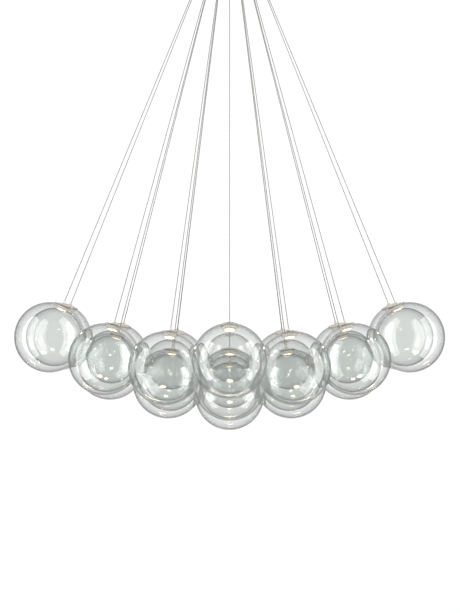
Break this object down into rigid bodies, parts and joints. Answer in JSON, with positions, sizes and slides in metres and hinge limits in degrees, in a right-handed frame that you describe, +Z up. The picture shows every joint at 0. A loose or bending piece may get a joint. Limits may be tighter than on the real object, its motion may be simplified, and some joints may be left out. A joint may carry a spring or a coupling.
{
  "type": "cluster pendant",
  "caption": "Ceiling pendant of clear glass ball globes in a close honeycomb cluster, each on its own thin cable fanned out from one round canopy, with a small LED in each neck.",
  "frame": {"origin": "centre of the canopy's face on the ceiling", "axes": "+Z up, +X to the viewer's right along the cluster's long side, -Y towards the viewer"},
  "size_m": [0.7312, 0.6016, 0.83],
  "materials": {
    "clear_glass": "clear blown glass",
    "satin_nickel": "satin champagne nickel",
    "led_lens": "frosted, lit warm white",
    "lamp_core": "machined",
    "cable_jacket": "satin silver grey jacket",
    "canopy_metal": "satin metallic paint",
    "zinc_plate": "zinc plated",
    "nickel_brass": "nickel plated",
    "board_laminate": "white solder mask",
    "white_plastic": "moulded",
    "black_rubber": "matt",
    "wire_jacket": "smooth"
  },
  "bodies": {
    "canopy": {"board_spacers": "nickel_brass", "cable_grips": "satin_nickel", "canopy_cover": "canopy_metal", "ceiling_plate": "zinc_plate", "distribution_board": "board_laminate", "driver_leads": "wire_jacket", "fixing_screws": "nickel_brass", "grip_nuts": "nickel_brass", "inlet_grommet": "black_rubber", "inner_cables": "cable_jacket", "inner_caps": "satin_nickel", "inner_globes": "clear_glass", "inner_lamp_cores": "lamp_core", "inner_lenses": "led_lens", "inner_strain_reliefs": "satin_nickel", "lamp_leads": "cable_jacket", "led_driver": "white_plastic", "mains_terminal": "white_plastic"},
    "pendant_10": {"globe_10": "clear_glass", "lamp_10": "satin_nickel", "cable_10": "cable_jacket"},
    "pendant_11": {"globe_11": "clear_glass", "lamp_11": "satin_nickel", "cable_11": "cable_jacket"},
    "pendant_12": {"globe_12": "clear_glass", "lamp_12": "satin_nickel", "cable_12": "cable_jacket"},
    "pendant_13": {"globe_13": "clear_glass", "lamp_13": "satin_nickel", "cable_13": "cable_jacket"},
    "pendant_14": {"globe_14": "clear_glass", "lamp_14": "satin_nickel", "cable_14": "cable_jacket"},
    "pendant_15": {"globe_15": "clear_glass", "lamp_15": "satin_nickel", "cable_15": "cable_jacket"},
    "pendant_16": {"globe_16": "clear_glass", "lamp_16": "satin_nickel", "cable_16": "cable_jacket"},
    "pendant_17": {"globe_17": "clear_glass", "lamp_17": "satin_nickel", "cable_17": "cable_jacket"},
    "pendant_18": {"globe_18": "clear_glass", "lamp_18": "satin_nickel", "cable_18": "cable_jacket"},
    "pendant_19": {"globe_19": "clear_glass", "lamp_19": "satin_nickel", "cable_19": "cable_jacket"},
    "pendant_20": {"globe_20": "clear_glass", "lamp_20": "satin_nickel", "cable_20": "cable_jacket"},
    "pendant_21": {"globe_21": "clear_glass", "lamp_21": "satin_nickel", "cable_21": "cable_jacket"},
    "pendant_22": {"globe_22": "clear_glass", "lamp_22": "satin_nickel", "cable_22": "cable_jacket"},
    "pendant_23": {"globe_23": "clear_glass", "lamp_23": "satin_nickel", "cable_23": "cable_jacket"}
  },
  "joints": [
    {"name": "swing_10", "type": "hinge", "parent": "canopy", "child": "pendant_10", "pos_m": [0.01829, 0.03167, -0.0549], "axis": [0.8661, -0.4999, 0], "range_deg": [0, 45]},
    {"name": "swing_11", "type": "hinge", "parent": "canopy", "child": "pendant_11", "pos_m": [-0.01829, 0.03167, -0.0549], "axis": [0.8661, 0.4999, 0], "range_deg": [0, 45]},
    {"name": "swing_12", "type": "hinge", "parent": "canopy", "child": "pendant_12", "pos_m": [-0.01829, -0.03167, -0.0549], "axis": [-0.8661, 0.4999, 0], "range_deg": [0, 45]},
    {"name": "swing_13", "type": "hinge", "parent": "canopy", "child": "pendant_13", "pos_m": [0.01829, -0.03167, -0.0549], "axis": [-0.8661, -0.4999, 0], "range_deg": [0, 45]},
    {"name": "swing_14", "type": "hinge", "parent": "canopy", "child": "pendant_14", "pos_m": [0.03703, 0.02147, -0.0549], "axis": [0.8626, -0.5059, 0], "range_deg": [0, 45]},
    {"name": "swing_15", "type": "hinge", "parent": "canopy", "child": "pendant_15", "pos_m": [-0.03703, 0.02147, -0.0549], "axis": [0.8626, 0.5059, 0], "range_deg": [0, 45]},
    {"name": "swing_16", "type": "hinge", "parent": "canopy", "child": "pendant_16", "pos_m": [-0.03703, -0.02147, -0.0549], "axis": [-0.8626, 0.5059, 0], "range_deg": [0, 45]},
    {"name": "swing_17", "type": "hinge", "parent": "canopy", "child": "pendant_17", "pos_m": [0.03703, -0.02147, -0.0549], "axis": [-0.8626, -0.5059, 0], "range_deg": [0, 45]},
    {"name": "swing_18", "type": "hinge", "parent": "canopy", "child": "pendant_18", "pos_m": [0, 0.04294, -0.0549], "axis": [1, 0, 0], "range_deg": [0, 45]},
    {"name": "swing_19", "type": "hinge", "parent": "canopy", "child": "pendant_19", "pos_m": [0, -0.04294, -0.0549], "axis": [-1, 0, 0], "range_deg": [0, 45]},
    {"name": "swing_20", "type": "hinge", "parent": "canopy", "child": "pendant_20", "pos_m": [0.05708, 0.01124, -0.0549], "axis": [0.5237, -0.8519, 0], "range_deg": [0, 45]},
    {"name": "swing_21", "type": "hinge", "parent": "canopy", "child": "pendant_21", "pos_m": [-0.05708, 0.01124, -0.0549], "axis": [0.5237, 0.8519, 0], "range_deg": [0, 45]},
    {"name": "swing_22", "type": "hinge", "parent": "canopy", "child": "pendant_22", "pos_m": [-0.05708, -0.01124, -0.0549], "axis": [-0.5237, 0.8519, 0], "range_deg": [0, 45]},
    {"name": "swing_23", "type": "hinge", "parent": "canopy", "child": "pendant_23", "pos_m": [0.05708, -0.01124, -0.0549], "axis": [-0.5237, -0.8519, 0], "range_deg": [0, 45]}
  ]
}
